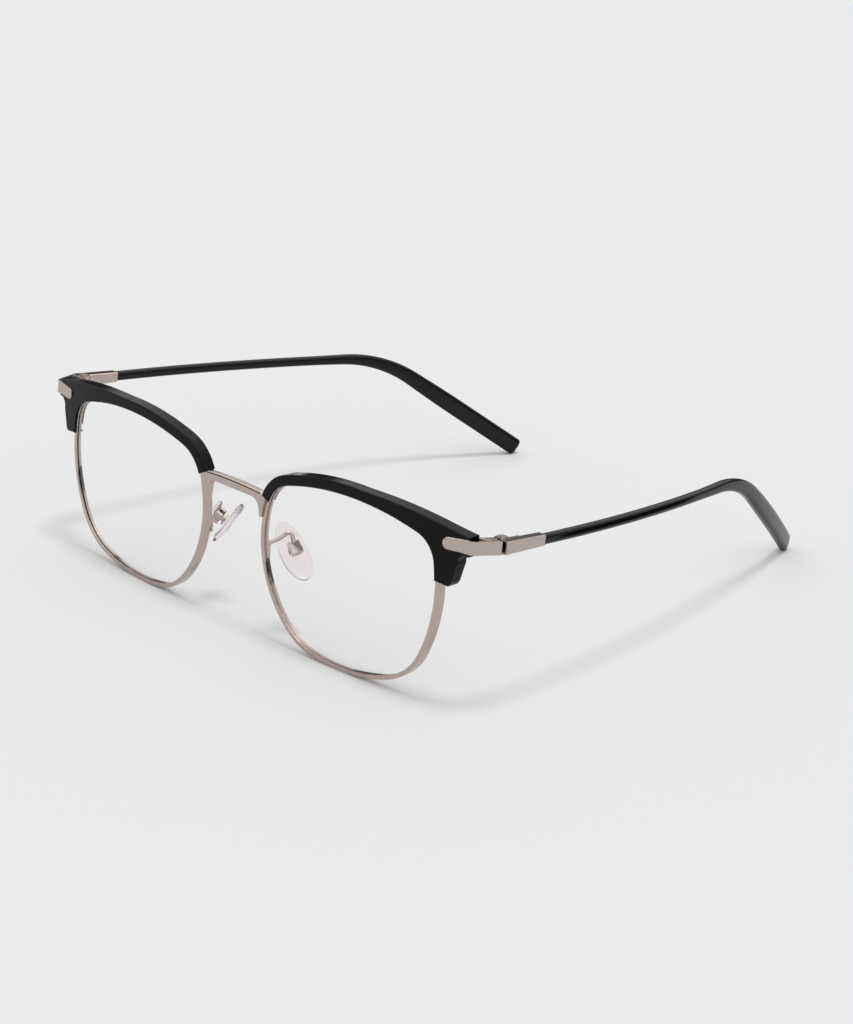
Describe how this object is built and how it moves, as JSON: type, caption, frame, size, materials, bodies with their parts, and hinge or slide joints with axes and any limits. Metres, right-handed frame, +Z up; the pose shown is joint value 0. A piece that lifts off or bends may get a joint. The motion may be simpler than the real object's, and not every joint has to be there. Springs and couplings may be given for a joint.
{
  "type": "half rim eyeglasses",
  "caption": "Browline spectacles: slim metal rims under glossy brow covers, curved clear lenses, a metal bridge, nose pads on arms and hinged temples with bent tips.",
  "frame": {"origin": "middle of the footprint, on the surface the open spectacles stand on", "axes": "+X towards the wearer's left, -Y the way the wearer faces (front of the lenses), +Z up when worn"},
  "size_m": [0.15, 0.1468, 0.0441],
  "materials": {
    "frame_metal": "polished warm silver plating",
    "screw_steel": "bright small screws",
    "core_metal": "drawn wire",
    "brow_black": "polished black",
    "sleeve_black": "polished black",
    "lens_clear": "clear polished optical resin",
    "pad_clear": "clear soft plastic"
  },
  "bodies": {
    "front": {"bridge": "frame_metal", "rim_left": "frame_metal", "rim_right": "frame_metal", "lens_left": "lens_clear", "lens_right": "lens_clear", "endpiece_left": "frame_metal", "endpiece_right": "frame_metal", "rim_lock_upper_left": "frame_metal", "rim_lock_upper_right": "frame_metal", "rim_lock_lower_left": "frame_metal", "rim_lock_lower_right": "frame_metal", "rim_lock_screw_left": "screw_steel", "rim_lock_screw_right": "screw_steel", "brow_screw_left": "screw_steel", "brow_screw_right": "screw_steel", "brow_left": "brow_black", "brow_right": "brow_black", "hinge_leaf_front_left": "frame_metal", "hinge_leaf_front_right": "frame_metal", "hinge_screw_left": "screw_steel", "hinge_screw_right": "screw_steel", "pad_box_left": "frame_metal", "pad_box_right": "frame_metal", "pad_screw_left": "screw_steel", "pad_screw_right": "screw_steel", "pad_arm_left": "frame_metal", "pad_arm_right": "frame_metal"},
    "temple_left": {"hinge_leaf_temple_left": "frame_metal", "temple_housing_left": "frame_metal", "temple_core_left": "core_metal", "temple_sleeve_left": "sleeve_black"},
    "pad_left": {"nose_pad_left": "pad_clear", "pad_insert_left": "frame_metal"},
    "temple_right": {"hinge_leaf_temple_right": "frame_metal", "temple_housing_right": "frame_metal", "temple_core_right": "core_metal", "temple_sleeve_right": "sleeve_black"},
    "pad_right": {"nose_pad_right": "pad_clear", "pad_insert_right": "frame_metal"}
  },
  "joints": [
    {"name": "left_temple_fold", "type": "hinge", "parent": "front", "child": "temple_left", "pos_m": [0.0719, -0.0603, 0.03828], "axis": [0, 0.0779, 0.997], "range_deg": [0, 81]},
    {"name": "right_temple_fold", "type": "hinge", "parent": "front", "child": "temple_right", "pos_m": [-0.0719, -0.0603, 0.03828], "axis": [0, -0.0779, -0.997], "range_deg": [0, 75]},
    {"name": "left_pad_rock", "type": "hinge", "parent": "front", "child": "pad_left", "pos_m": [0.0135, -0.06533, 0.021], "axis": [-0.3426, -0.891, -0.2978], "range_deg": [-10, 10]},
    {"name": "right_pad_rock", "type": "hinge", "parent": "front", "child": "pad_right", "pos_m": [-0.0135, -0.06533, 0.021], "axis": [-0.3426, 0.891, 0.2978], "range_deg": [-10, 10]}
  ]
}
